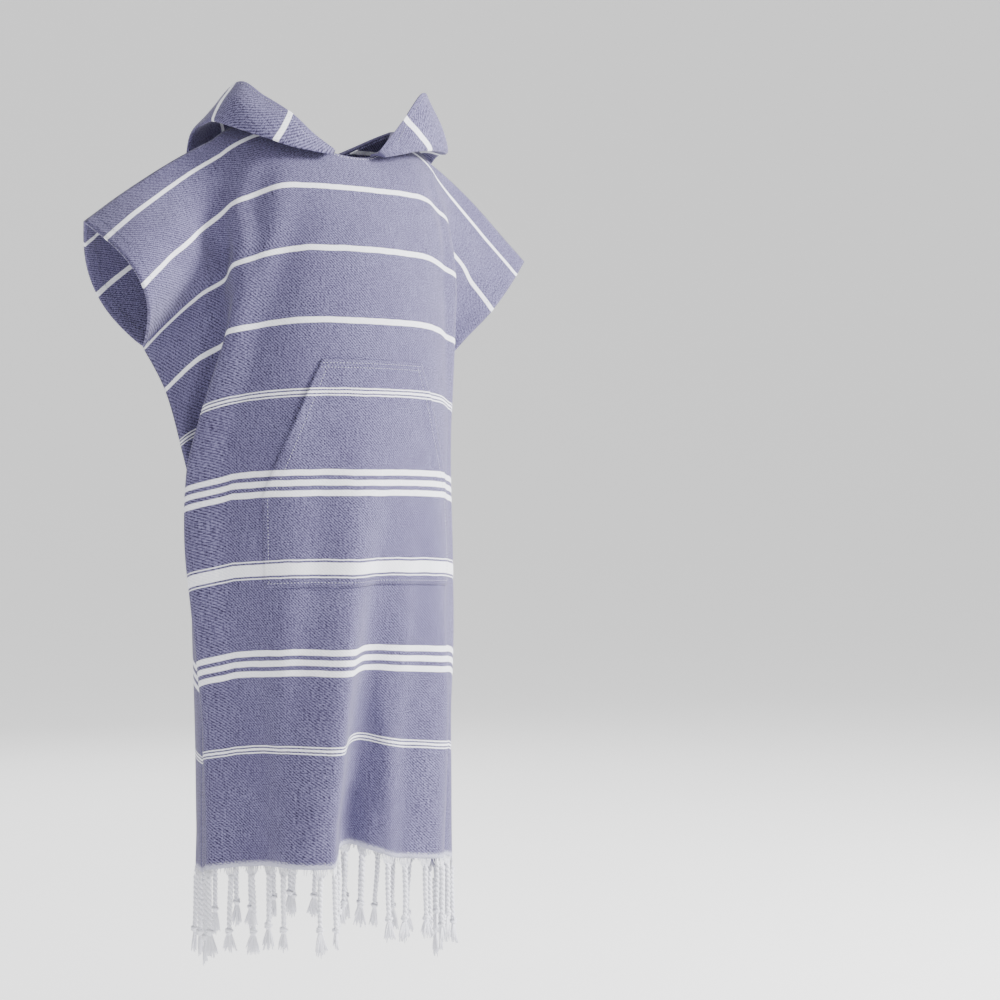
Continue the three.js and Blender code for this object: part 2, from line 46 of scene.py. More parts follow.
# The cut and the cloth, as in the solids
LENGTH = 1080.0
NECK_HALF = 107.0
NECK_SHARE = 0.26
NECK_DROP = {"front": 90.0, "back": 78.0}
NECK_BLEND_FROM = 880.0
CUFF_FOOT = 848.0
CUFFS = {
    "right": {"x": 360.0, "y": 20.0, "z": -159.0, "front": -82.0, "back": 64.0},
    "left": {"x": 360.0, "y": 20.0, "z": -166.0, "front": -18.0, "back": 86.0},
}
CUFF_LIFT = 0.08
CUFF_ROUND = 0.75
TURN_ANGLE = math.radians(64)
SIDE_PULL = 0.75
WALL = 2.0
POCKET = {"top": 688.0, "bend": 505.0, "foot": 380.0, "top_share": 0.26, "foot_share": 0.567}
HOOD_GAP_HALF = 30.0
HOOD_FLAT = {"rim": 450.0, "neck": 250.0, "round": 2 / 3}
HEM_STRIP = 7.0
FRINGE_COUNT = 21
FRINGE_LENGTH = 118.0

HANG_COLUMNS = "flat half_flat front back front_z back_z seam_y wing flat_until"
HANG = [
    (0, 300, 138, 135, -1024, -1036, 8, 0, 0),
    (160, 300, 139, 133, -866, -876, 8, 0, 0),
    (278, 300, 141, 132, -749, -758, 8, 0, 0),
    (405, 300, 142, 130, -622, -631, 9, 0, 0),
    (521, 301, 145, 129, -506, -514, 10, 0.1, 0.05),
    (644, 318, 148, 128, -383, -390, 12, 0.45, 0.1),
    (741, 352, 146, 126, -286, -292, 15, 0.8, 0.18),
    (848, 410, 133, 119, -178, -184, 21, 1, 0.22),
    (935, 410, 106, 102, -101, -100, 21, 1, 0.24),
    (990, 410, 77, 77, -53, -52, 21, 1, 0.24),
    (1035, 410, 41, 42, -20, -20, 21, 1, 0.24),
    (1080, 410, 2, 2, 0, 0, 21, 1, 0.24),
]
SIDE_COLUMNS = "flat half seam_x seam_z power"
SIDES = {
    "right": [
        (0, 190, 190, -1042, 2.2),
        (160, 190, 190, -888, 2.4),
        (278, 192, 192, -782, 2.8),
        (405, 196, 196, -660, 2.8),
        (521, 198, 200, -550, 2.6),
        (644, 196, 222, -452, 2.2),
        (741, 192, 243, -380, 1.9),
        (848, 190, 274, -321, 1.6),
        (935, 190, 274, -321, 1.5),
        (990, 192, 274, -321, 1.45),
        (1035, 196, 274, -321, 1.4),
        (1080, 200, 274, -321, 1.4),
    ],
    "left": [
        (0, 197, 197, -1090, 1.5),
        (160, 198, 198, -926, 1.6),
        (278, 200, 200, -796, 1.9),
        (405, 197, 197, -664, 2.4),
        (521, 189, 191, -548, 2.4),
        (644, 184, 201, -450, 2.2),
        (741, 182, 213, -380, 1.9),
        (848, 182, 232, -309, 1.6),
        (935, 184, 232, -309, 1.5),
        (990, 190, 232, -309, 1.45),
        (1035, 194, 232, -309, 1.4),
        (1080, 198, 232, -309, 1.4),
    ],
}
FOLD_COLUMNS = "top foot across_top across_foot width depth lean lift fade"
FOLDS = {
    "front": [
        (700, 60, 0, -100, 62, 26, 16, -3, 0),
        (560, 40, 34, -26, 62, -34, 0, 4, 0),
        (300, -10, -2, -24, 74, -3, 0, 15, 0),
        (620, 60, 150, 108, 58, 18, 8, -2, 0),
        (520, 40, 205, 176, 44, -14, 0, 2, 0),
        (900, 560, -168, -262, 46, 24, -18, -2, 120),
        (820, 600, -225, -298, 42, -24, 0, 0, 200),
        (640, 420, -250, -262, 40, 12, -6, 0, 0),
        (560, 60, -190, -186, 48, -12, 0, 0, 0),
        (480, 80, -120, -140, 40, 6, 0, 0, 0),
        (1010, 860, -205, -214, 38, 14, 0, 0, 620),
        (980, 840, -262, -250, 40, -14, 0, 0, 620),
        (1020, 860, 208, 216, 38, 16, 0, 0, 560),
        (980, 820, 264, 262, 42, -12, 0, 0, 560),
        (800, 620, 214, 236, 36, 10, 6, 0, 120),
    ],
    "back": [
        (640, 60, 40, 62, 60, 24, -14, -3, 0),
        (600, 40, -20, -10, 62, -32, 0, 5, 0),
        (300, -10, -12, -8, 72, -3, 0, 12, 0),
        (600, 60, -130, -120, 60, 16, 0, 0, 0),
        (560, 60, -205, -200, 46, -14, 0, 0, 0),
        (620, 300, 258, 262, 44, 12, 0, 0, 0),
        (620, 80, 190, 182, 52, -13, 0, 0, 0),
        (1020, 800, 246, 262, 42, 22, 0, 0, 600),
        (1000, 760, 192, 205, 44, -14, 0, 0, 480),
        (1020, 800, -240, -256, 42, 18, 0, 0, 600),
        (1000, 760, -188, -200, 44, -13, 0, 0, 480),
        (700, 500, 236, 246, 40, 11, 0, 0, 120),
        (780, 420, 110, 120, 50, 9, 0, 0, 100),
        (780, 420, -60, -80, 50, 7, 0, 0, 100),
    ],
}
HOOD_COLUMNS = "along roll_x roll_y roll_z rim_x rim_y rim_z bulge stand bow"
HOOD = {
    "left": [
        (0, 42, -93, -50, 34, -88, -44, 0, 3.5, 1),
        (0.1, 70, -90, -43, 53, -84, -23, 2, 3, 3),
        (0.2, 102, -82, -35, 82, -77, 8, 5, 3, 5),
        (0.3, 142, -62, -27, 126, -58, 54, 7, 4, 7),
        (0.4, 180, -38, -24, 156, -26, 38, 8, 4, 8),
        (0.5, 196, 16, -24, 160, 24, -4, 9, 4, 10),
        (0.62, 192, 84, -76, 140, 76, -54, 12, 5, 18),
        (0.75, 152, 132, -156, 104, 118, -74, 14, 7, 27),
        (0.88, 82, 150, -222, 54, 142, -84, 14, 6, 30),
        (1, 0, 156, -246, 0, 150, -88, 14, 6, 30),
    ],
    "right": [
        (0, 44, -93, -54, 38, -88, -46, 0, 3.5, 1),
        (0.1, 78, -93, -52, 66, -84, -28, 2, 4, 3),
        (0.2, 110, -88, -47, 96, -76, -2, 4, 5, 5),
        (0.3, 142, -74, -36, 124, -48, 24, 7, 7, 7),
        (0.4, 174, -38, -20, 147, -14, 47, 8, 8, 9),
        (0.5, 186, 6, -11, 168, 30, 8, 6, 8, 12),
        (0.62, 188, 56, -34, 154, 78, -18, 8, 8, 20),
        (0.75, 154, 124, -138, 110, 118, -58, 14, 7, 27),
        (0.88, 82, 150, -216, 56, 142, -80, 14, 6, 30),
        (1, 0, 156, -246, 0, 150, -88, 14, 6, 30),
    ],
}

# Small creases of the cloth alone: a line on the cut from one place to another, its width and its depth
CREASE_COLUMNS = "across0 flat0 across1 flat1 width depth"
CREASES = {
    "front": [
        (-118, 1010, -196, 740, 24, 3.4),
        (-96, 960, -168, 700, 26, -3.0),
        (-150, 1010, -215, 880, 16, 2.2),
        (-120, 985, -180, 900, 20, -1.8),
        (118, 1010, 200, 780, 22, 3.0),
        (60, 960, 96, 760, 40, -2.2),
        (150, 1015, 205, 890, 16, 2.4),
        (120, 975, 170, 905, 18, -1.6),
        (-230, 860, -262, 730, 14, 2.0),
        (-205, 850, -236, 700, 16, -2.0),
        (225, 850, 250, 720, 14, 2.0),
        (-92, 690, -150, 560, 14, 1.6),
        (-60, 360, -88, 120, 18, 2.4),
        (-150, 420, -160, 60, 22, 2.0),
        (-228, 420, -226, 40, 16, 2.2),
        (60, 350, 48, 60, 22, -2.2),
        (30, 300, 22, 30, 12, 1.8),
        (130, 330, 134, 50, 18, 2.0),
        (232, 520, 226, 50, 18, -2.0),
        (262, 560, 256, 80, 14, 1.8),
        (-110, 120, -120, 0, 16, 2.4),
        (-205, 110, -215, 0, 18, -2.6),
        (-20, 110, -30, 0, 14, -2.4),
        (150, 110, 156, 0, 16, 2.4),
        (330, 1010, 300, 900, 26, 2.6),
        (-330, 1010, -296, 905, 26, 2.6),
        (355, 960, 320, 870, 18, -2.0),
        (-352, 965, -318, 880, 18, -2.0),
    ],
    "back": [
        (-150, 1010, -225, 870, 18, 2.6),
        (150, 1010, 228, 860, 18, 2.8),
        (-60, 960, -150, 840, 30, 2.4),
        (60, 965, 140, 850, 30, 2.2),
        (0, 900, -10, 700, 40, -2.4),
        (-240, 800, -262, 560, 16, 2.4),
        (240, 800, 262, 560, 16, 2.4),
        (-40, 520, -52, 60, 20, 2.4),
        (20, 460, 26, 40, 18, 2.2),
        (110, 480, 118, 60, 22, 2.4),
        (-160, 520, -166, 40, 20, 2.2),
        (-90, 160, -96, 0, 16, -2.4),
        (150, 140, 156, 0, 18, 2.4),
        (330, 1010, 300, 900, 26, 2.6),
        (-330, 1010, -296, 905, 26, 2.6),
    ],
}

# Woven weft stripes: middle above the hem and width. The hood has its own, from its neck seam.
THIN_LINES = [(-4.6, 1.7), (0, 3.0), (4.6, 1.7)]
THICK_LINES = [(-14, 8), (0, 8), (14, 8)]
BAND_LINES = [(-11.6, 1.6), (0, 16), (11.6, 1.6)]
GROUPS = [(160, THIN_LINES), (278, THICK_LINES), (405, BAND_LINES), (521, THICK_LINES), (644, THIN_LINES)]
BODY_STRIPES = [(middle + shift, width) for middle, lines in GROUPS for shift, width in lines]
BODY_STRIPES += [(middle, 8) for middle in (741, 838, 935, 1032)]
HOOD_STRIPES = [(middle, 8) for middle in (94, 188, 282)]


def table(columns, rows):
    data = np.array(rows, dtype=float)
    return {name: data[:, i] for i, name in enumerate(columns.split())}


def table_at(columns, key, where):
    """A smooth curve through the rows of a table, at places along its key column."""
    keys = columns[key]
    last = len(keys) - 1
    i = np.clip(np.searchsorted(keys, where, side="left") - 1, 0, last - 1)
    j = i + 1
    before, after = np.maximum(i - 1, 0), np.minimum(i + 2, last)
    step = keys[j] - keys[i]
    t = (where - keys[i]) / step
    span_in = np.where(i == 0, 1, keys[j] - keys[before])
    span_out = np.where(after == j, 1, keys[after] - keys[i])
    found = {}
    for name, c in columns.items():
        rise = c[j] - c[i]
        slope_in = np.where(i == 0, rise, (c[j] - c[before]) / span_in * step)
        slope_out = np.where(after == j, rise, (c[after] - c[i]) / span_out * step)
        found[name] = (
            c[i] * (2 * t**3 - 3 * t**2 + 1)
            + slope_in * (t**3 - 2 * t**2 + t)
            + c[j] * (3 * t**2 - 2 * t**3)
            + slope_out * (t**3 - t**2)
        )
    return found


def ease(t):
    t = np.clip(t, 0, 1)
    return t * t * (3 - 2 * t)


def mix(a, b, t):
    return a + (b - a) * t


def unit(v):
    return v / np.maximum(np.linalg.norm(v, axis=-1, keepdims=True), 1e-9)


HANG_TABLE = table(HANG_COLUMNS, HANG)
SIDE_TABLES = {hand: table(SIDE_COLUMNS, rows) for hand, rows in SIDES.items()}
FOLD_TABLE = {face: table(FOLD_COLUMNS, rows) for face, rows in FOLDS.items()}
CREASE_TABLE = {face: table(CREASE_COLUMNS, rows) for face, rows in CREASES.items()}
ROW_SAMPLES = 120


def row_end(row, side_row, flat, face, hand):
    """The side seam's place on a row, or the cuff's front or back edge above the foot of the cuff."""
    cuff = CUFFS[hand]
    t = np.clip((flat - CUFF_FOOT) / (LENGTH - CUFF_FOOT), 0, 1)
    up = t + CUFF_LIFT * np.sin(np.pi * t)
    return np.stack(
        [
            mix(side_row["seam_x"], cuff["x"], up),
            mix(row["seam_y"], cuff["y"], up) + cuff[face] * np.sin(np.pi * t**CUFF_ROUND),
            mix(side_row["seam_z"], cuff["z"], up),
        ],
        -1,
    )


def row_curves(flat, face, hand):
    """Each level's row on one side, with x outwards, sampled from the centre line out to its end."""
    row = table_at(HANG_TABLE, "flat", flat)
    side_row = table_at(SIDE_TABLES[hand], "flat", flat)
    side = -1 if face == "front" else 1
    depth = row[face]
    end = row_end(row, side_row, flat, face, hand)
    centre_y = row["seam_y"] * (1 - row["wing"])
    half = side_row["half"]
    turned = np.stack([half * math.sin(TURN_ANGLE), centre_y + side * depth * math.cos(TURN_ANGLE)], -1)
    reach = np.linalg.norm(end[:, :2] - turned, axis=1)[:, None]
    start = unit(np.stack([half * math.cos(TURN_ANGLE), -side * depth * math.sin(TURN_ANGLE)], -1)) * reach
    wing = row["wing"]
    finish = unit(np.stack([wing, -side * (1 - wing) * (1 - SIDE_PULL * wing)], -1)) * reach
    s = np.linspace(0, 1, ROW_SAMPLES + 1)[None, :]
    angle = TURN_ANGLE * np.minimum(s * 2, 1)
    arc = np.stack(
        [half[:, None] * np.sin(angle), centre_y[:, None] + side * depth[:, None] * np.cos(angle)], -1
    )
    t = np.clip(s * 2 - 1, 0, 1)[..., None]
    run = (
        turned[:, None] * (2 * t**3 - 3 * t**2 + 1)
        + start[:, None] * (t**3 - 2 * t**2 + t)
        + end[:, None, :2] * (3 * t**2 - 2 * t**3)
        + finish[:, None] * (t**3 - t**2)
    )
    plan = np.where((s <= 0.5)[..., None], arc, run)
    centre_z = row[face + "_z"]
    until = row["flat_until"][:, None]
    out = np.maximum(0, (s - until) / (1 - until)) ** side_row["power"][:, None]
    z = mix(centre_z[:, None], end[:, 2:3], out)
    return np.concatenate([plan, z[..., None]], -1)


def fold_push(folds, i, across, flat):
    """How much of a fold's depth there is at places on the cut."""
    grown = (folds["top"][i] - flat) / (folds["top"][i] - folds["foot"][i])
    middle = mix(folds["across_top"][i], folds["across_foot"][i], np.clip(grown, 0, 1))
    away = (across - middle) / folds["width"][i]
    push = np.where(np.abs(away) < 1, 0.5 * (1 + np.cos(np.pi * away)), 0) * ease(grown)
    fade = folds["fade"][i]
    if fade > 0:
        push = push * ease((flat - fade) / (folds["foot"][i] - fade))
    return push


def body_points(share, level, face):
    """Points of the hung front or back, with their places on the cut."""
    shape = share.shape
    share, level = share.ravel(), level.ravel()
    across = share * table_at(HANG_TABLE, "flat", level)["half_flat"]
    dip = NECK_DROP[face] * (1 - np.clip(np.abs(across) / NECK_HALF, 0, 1) ** 2.4)
    blend = np.clip((level - NECK_BLEND_FROM) / (LENGTH - NECK_BLEND_FROM), 0, 1) ** 1.2
    flat = level - dip * blend
    left = (share >= 0)[:, None, None]
    curves = np.where(left, row_curves(flat, face, "left"), row_curves(flat, face, "right"))
    steps = np.linalg.norm(np.diff(curves, axis=1), axis=2)
    lengths = np.concatenate([np.zeros((len(flat), 1)), np.cumsum(steps, axis=1)], 1)
    wanted = np.abs(share) * lengths[:, -1]
    i = 1 + (lengths[:, 1:-1] < wanted[:, None]).sum(1)
    n = np.arange(len(flat))
    t = ((wanted - lengths[n, i - 1]) / (lengths[n, i] - lengths[n, i - 1]))[:, None]
    place = mix(curves[n, i - 1], curves[n, i], t)
    way = unit(curves[n, i] - curves[n, i - 1])
    mirror = np.where(share < 0, -1.0, 1.0)
    side = -1 if face == "front" else 1
    outward = unit(np.stack([-side * way[:, 1], side * way[:, 0]], -1))
    place[:, 0] *= mirror
    outward[:, 0] *= mirror
    sideways = np.stack([way[:, 0], way[:, 1] * mirror], -1)
    edge = ease((1 - np.abs(share)) / 0.1)
    folds = FOLD_TABLE[face]
    for k in range(len(folds["top"])):
        push = fold_push(folds, k, across, flat) * edge
        place[:, :2] += outward * (folds["depth"][k] * push)[:, None]
        place[:, :2] += sideways * (folds["lean"][k] * push * push)[:, None]
        place[:, 2] += folds["lift"][k] * push
    return place.reshape(*shape, 3), np.stack([across, flat], -1).reshape(*shape, 2)


def grid_normals(points, flip):
    along = np.gradient(points, axis=1)
    up = np.gradient(points, axis=0)
    normals = unit(np.cross(along, up))
    return -normals if flip else normals


def soft_noise(a, b, seed):
    """Smooth repeatable noise of two coordinates, from about -1 to 1."""
    total = np.zeros_like(a)
    for k in range(1, 6):
        turn = 2.4 * k + seed
        total += np.sin(a * math.cos(turn) * k**0.5 + b * math.sin(turn) * k**0.5 + 1.7 * seed * k)
    return total / 3


def crease_depth(cut, face, share):
    """Small creases and unevenness of the cloth, along its normal."""
    across, flat = cut[..., 0], cut[..., 1]
    depth = np.zeros_like(across)
    creases = CREASE_TABLE[face]
    for k in range(len(creases["width"])):
        start = np.array([creases["across0"][k], creases["flat0"][k]])
        line = np.array([creases["across1"][k], creases["flat1"][k]]) - start
        length = np.linalg.norm(line)
        way = line / length
        ahead = (across - start[0]) * way[0] + (flat - start[1]) * way[1]
        beside = (across - start[0]) * way[1] - (flat - start[1]) * way[0]
        beside = beside + 5 * np.sin(ahead / 41 + k)
        ends = ease(ahead / (0.4 * length)) * ease((length - ahead) / (0.4 * length))
        depth += 1.3 * creases["depth"][k] * np.exp(-((beside / creases["width"][k]) ** 2)) * ends
    seed = 1.0 if face == "front" else 5.0
    drape = ease((760 - flat) / 400)
    depth += drape * 1.8 * soft_noise(across / 26, flat / 170, seed)
    depth += 0.7 * soft_noise(across / 34, flat / 38, seed + 2)
    depth += ease((70 - flat) / 70) * 1.5 * soft_noise(across / 11, flat / 90, seed + 3)
    return depth * ease((1 - np.abs(share)) / 0.06)


# Meshes


def new_object(name, verts, faces, uvs=None, sharp=None):
    mesh = bpy.data.meshes.new(name)
    mesh.from_pydata((np.asarray(verts) * MM).tolist(), [], faces)
    smooth = np.ones(len(faces), dtype=bool)
    if sharp is not None:
        smooth[sharp] = False
    mesh.polygons.foreach_set("use_smooth", smooth)
    if uvs is not None:
        layer = mesh.uv_layers.new(name="cut")
        loops = np.empty(len(mesh.loops), dtype=int)
        mesh.loops.foreach_get("vertex_index", loops)
        layer.data.foreach_set("uv", (np.asarray(uvs)[loops] * MM).ravel())
    mesh.update()
    obj = bpy.data.objects.new(name, mesh)
    bpy.context.collection.objects.link(obj)
    return obj


def shell_object(name, points, normals, cut, inner, outer, flip):
    """A closed wall on a grid of points, between two distances along their normals."""
    rows, columns = points.shape[:2]
    count = rows * columns
    inner, outer = (np.broadcast_to(d, (rows, columns))[..., None] for d in (inner, outer))
    verts = np.concatenate([(points + normals * outer).reshape(-1, 3), (points + normals * inner).reshape(-1, 3)])
    index = np.arange(count).reshape(rows, columns)
    quads = np.stack([index[:-1, :-1], index[:-1, 1:], index[1:, 1:], index[1:, :-1]], -1).reshape(-1, 4)
    if flip:
        quads = quads[:, ::-1]
    border = np.concatenate([index[0, :], index[1:, -1], index[-1, -2::-1], index[-2:0:-1, 0]])
    ahead = np.roll(border, -1)
    sides = np.stack([border, border + count, ahead + count, ahead], -1)
    if flip:
        sides = sides[:, ::-1]
    faces = np.concatenate([quads, quads[:, ::-1] + count, sides])
    uvs = np.concatenate([cut.reshape(-1, 2)] * 2)
    sharp = np.arange(len(faces) - len(sides), len(faces))
    return new_object(name, verts, faces.tolist(), uvs, sharp)


# The body


COLUMN_COUNT = 141
shares = np.linspace(-1, 1, COLUMN_COUNT)
LEVELS = np.concatenate(
    [
        np.linspace(0, 60, 16)[:-1],
        np.linspace(60, 860, 121)[:-1],
        np.linspace(860, LENGTH, 51),
    ]
)
share_grid, level_grid = np.meshgrid(shares, LEVELS)


def body_grid(face):
    points, cut = body_points(share_grid, level_grid, face)
    normals = grid_normals(points, face == "back")
    points = points + normals * crease_depth(cut, face, share_grid)[..., None]
    return points, grid_normals(points, face == "back"), cut


front_points, front_normals, front_cut = body_grid("front")
back_points, back_normals, back_cut = body_grid("back")
SEAM_DRAW = 0.02
sewn = np.zeros(share_grid.shape, dtype=bool)
sewn[:, 0] = sewn[:, -1] = LEVELS <= CUFF_FOOT
sewn[-1, :] |= np.abs(shares) >= NECK_SHARE - 1e-6
seam_normals = unit(front_normals + back_normals)
seam_points = (front_points + back_points) / 2
for points, normals in ((front_points, front_normals), (back_points, back_normals)):
    inside = np.roll(points, (0, 1), (0, 1))
    inside[:, 0] = points[:, 1]
    inside[-1, 1:-1] = points[-2, 1:-1]
    towards = inside - seam_points
    towards = unit(towards - (towards * seam_normals).sum(-1, keepdims=True) * seam_normals)
    points[sewn] = (seam_points + towards * SEAM_DRAW)[sewn]
    normals[sewn] = seam_normals[sewn]

# A turned hem lies inside each cuff
cuff_way = (1 - np.abs(share_grid)) * 410
in_cuff = ease((22 - cuff_way) / 4) * ease((level_grid - CUFF_FOOT + 10) / 30)
inner_wall = -WALL / 2 - 1.1 * in_cuff

front = shell_object("front_cloth", front_points, front_normals, front_cut, inner_wall, WALL / 2, False)
back = shell_object("back_cloth", back_points, back_normals, back_cut, inner_wall, WALL / 2, True)


def on_body(share, level, face):
    """Points and normals on the outside of a body panel at any places on it."""
    share, level = np.asarray(share, dtype=float), np.asarray(level, dtype=float)

    def place(s, v):
        points, cut = body_points(s, v, face)
        return points, cut

    points, cut = place(share, level)
    east = place(share + 0.004, level)[0] - place(share - 0.004, level)[0]
    north = place(share, np.minimum(level + 2, LENGTH))[0] - place(share, level - 2)[0]
    normals = unit(np.cross(east, north)) * (-1 if face == "back" else 1)
    points = points + normals * crease_depth(cut, face, share)[..., None]
    return points, normals, cut


# The pouch pocket, a patch on the front with its two hand openings standing a little open
def pocket_half(level):
    up = np.clip((level - POCKET["bend"]) / (POCKET["top"] - POCKET["bend"]), 0, 1)
    return mix(POCKET["foot_share"], POCKET["top_share"], up)


pocket_levels = np.linspace(POCKET["foot"], POCKET["top"], 67)
pocket_s, pocket_v = np.meshgrid(np.linspace(-1, 1, 61), pocket_levels)
pocket_points, pocket_normals, pocket_cut = on_body(pocket_s * pocket_half(pocket_v), pocket_v, "front")
hand_open = ease((np.abs(pocket_s) - 0.72) / 0.28) * ease((pocket_v - POCKET["bend"] + 12) / 40)
hand_open = hand_open * ease((POCKET["top"] - 4 - pocket_v) / 50)
puff = 1.4 * (1 - np.abs(pocket_s) ** 4) * np.sin(np.pi * (pocket_v - POCKET["foot"]) / 308) ** 0.7
pocket_lift = 1.2 + puff + 3.2 * hand_open
pocket = shell_object(
    "pocket_cloth", pocket_points, pocket_normals, pocket_cut, pocket_lift, pocket_lift + 1.5, False
)


# The hood, down: a pouch behind the neck whose rim runs round it
def polyline_at(points, wanted):
    lengths = np.concatenate([[0], np.cumsum(np.linalg.norm(np.diff(points, axis=0), axis=1))])
    return lengths, np.stack([np.interp(wanted, lengths, points[:, k]) for k in range(points.shape[1])], -1)


def neck_edge(mirror, along):
    """Places and normals along the neck edge, from the hood's front end round to the centre back."""
    middle = COLUMN_COUNT // 2
    reach = int(round(NECK_SHARE * middle))
    ahead = middle + mirror * np.arange(reach + 1)
    front_part = np.concatenate([front_points[-1, ahead], front_normals[-1, ahead]], -1)
    back_part = np.concatenate([back_points[-1, ahead[::-1]], back_normals[-1, ahead[::-1]]], -1)
    edge = np.concatenate([front_part, back_part])
    lengths = np.concatenate([[0], np.cumsum(np.linalg.norm(np.diff(edge[:, :3], axis=0), axis=1))])
    wanted = mix(HOOD_GAP_HALF, lengths[-1], along)
    found = np.stack([np.interp(wanted, lengths, edge[:, k]) for k in range(6)], -1)
    return found[:, :3], unit(found[:, 3:])


def curve_through(stops, count):
    """A centripetal curve through each row of stops, cut into even steps: stops is (n, stops, 3)."""
    ahead = 2 * stops[:, :1] - stops[:, 1:2]
    behind = 2 * stops[:, -1:] - stops[:, -2:-1]
    p = np.concatenate([ahead, stops, behind], 1)
    knots = np.linalg.norm(np.diff(p, axis=1), axis=2) ** 0.5
    dense = []
    t = np.linspace(0, 1, 25)[None, :, None]
    for k in range(1, p.shape[1] - 2):
        a, b, c = (np.maximum(knots[:, k + d, None, None], 1e-6) for d in (-1, 0, 1))
        p0, p1, p2, p3 = (p[:, k + d, None] for d in (-1, 0, 1, 2))
        m1 = (p2 - p1) + b * ((p1 - p0) / a - (p2 - p0) / (a + b))
        m2 = (p2 - p1) + b * ((p3 - p2) / c - (p3 - p1) / (b + c))
        dense.append(
            (2 * t**3 - 3 * t**2 + 1) * p1
            + (t**3 - 2 * t**2 + t) * m1
            + (3 * t**2 - 2 * t**3) * p2
            + (t**3 - t**2) * m2
        )
    dense = np.concatenate([d if k == 0 else d[:, 1:] for k, d in enumerate(dense)], 1)
    curves = []
    for line in dense:
        lengths = np.concatenate([[0], np.cumsum(np.linalg.norm(np.diff(line, axis=0), axis=1))])
        wanted = np.linspace(0, lengths[-1], count)
        curves.append(np.stack([np.interp(wanted, lengths, line[:, k]) for k in range(3)], -1))
    return np.array(curves)


HOOD_ALONG, HOOD_OVER = 85, 71


def hood_grid(side):
    mirror = 1 if side == "left" else -1
    along = np.linspace(0, 1, HOOD_ALONG)
    row = table_at(table(HOOD_COLUMNS, HOOD[side]), "along", along)
    place, normal = neck_edge(mirror, along)
    foot = place + normal * (WALL / 2 + 0.6)
    up = foot + normal * row["stand"][:, None]
    roll = np.stack([mirror * row["roll_x"], row["roll_y"], row["roll_z"]], -1)
    rim = np.stack([mirror * row["rim_x"], row["rim_y"], row["rim_z"]], -1)
    outward = roll - foot * 0.3
    outward[:, 2] = 0
    outward = unit(outward)
    run = unit(roll - up)
    away = unit(normal - (normal * run).sum(-1, keepdims=True) * run)
    near = mix(up, roll, 0.28) + away * row["bow"][:, None]
    far = mix(up, roll, 0.66) + away * row["bow"][:, None] * 0.8
    outer = mix(roll, rim, 0.5) + outward * row["bulge"][:, None]
    sections = curve_through(np.stack([up, near, far, roll, outer, rim], 1), HOOD_OVER - 2)
    rise = np.stack([foot, mix(foot, up, 0.5)], 1)
    points = np.concatenate([rise, sections], 1)
    points[-1, :, 0] = mirror * SEAM_DRAW
    points = points.transpose(1, 0, 2)
    normals = grid_normals(points, mirror < 0)
    normals[:, -1, 0] = 0
    normals = unit(normals)
    turn = np.linspace(0, math.pi / 2, HOOD_OVER)[:, None]
    s = along[None, :]
    away_from_rim = HOOD_FLAT["neck"] * s * np.cos(turn).clip(0) ** HOOD_FLAT["round"]
    above_neck = HOOD_FLAT["rim"] * s * np.sin(turn) ** HOOD_FLAT["round"]
    cut = np.stack([mirror * away_from_rim, above_neck + 0 * away_from_rim], -1)
    ripple = 0.9 * soft_noise(cut[..., 0] / 24, cut[..., 1] / 30, 7.0 + mirror)
    ripple = ripple * ease(s / 0.2) * ease((1 - s) / 0.05) * ease(turn / 0.3)
    points = points + normals * ripple[..., None]
    return points, normals, cut, away_from_rim + 0 * above_neck


hoods = {}
for side in ("left", "right"):
    points, normals, cut, from_rim = hood_grid(side)
    hem = 0.8 * ease((16 - from_rim) / 3) * ease(np.linspace(0, 1, HOOD_OVER) / 0.4)[:, None]
    hoods[side] = (points, normals, cut)
    shell_object(f"hood_{side}_cloth", points, normals, cut, -0.9 - hem, 0.9, side == "right")
hood_left, hood_right = bpy.data.objects["hood_left_cloth"], bpy.data.objects["hood_right_cloth"]


# The fringe


def scatter(n):
    return abs(math.sin(n * 12.9898 + 4.1) * 43758.5453) % 1


class Soup:
    """Vertices and faces gathered from many small pieces of one mesh."""

    def __init__(self):
        self.verts, self.faces = [], []

    def tube(self, path, radii, sides, flatten=None):
        """A closed tube along a path. flatten squeezes its sections along a direction."""
        path = np.asarray(path, dtype=float)
        ways = unit(np.gradient(path, axis=0))
        helper = np.array([1.0, 0, 0]) if abs(ways[0][0]) < 0.9 else np.array([0, 1.0, 0])
        start = len(self.verts)
        for point, way, radius in zip(path, ways, radii):
            east = unit(np.cross(way, helper))
            north = np.cross(way, east)
            for k in range(sides):
                angle = 2 * math.pi * k / sides
                offset = radius * (math.cos(angle) * east + math.sin(angle) * north)
                if flatten is not None:
                    offset = offset - 0.5 * flatten * float(np.dot(offset, flatten))
                self.verts.append(point + offset)
        for i in range(len(path) - 1):
            for k in range(sides):
                a, b = start + i * sides + k, start + i * sides + (k + 1) % sides
                self.faces.append((a, a + sides, b + sides, b))
        self.faces.append(tuple(start + k for k in range(sides)))
        end = start + (len(path) - 1) * sides
        self.faces.append(tuple(end + k for k in reversed(range(sides))))

    def build(self, name):
        return new_object(name, self.verts, self.faces)


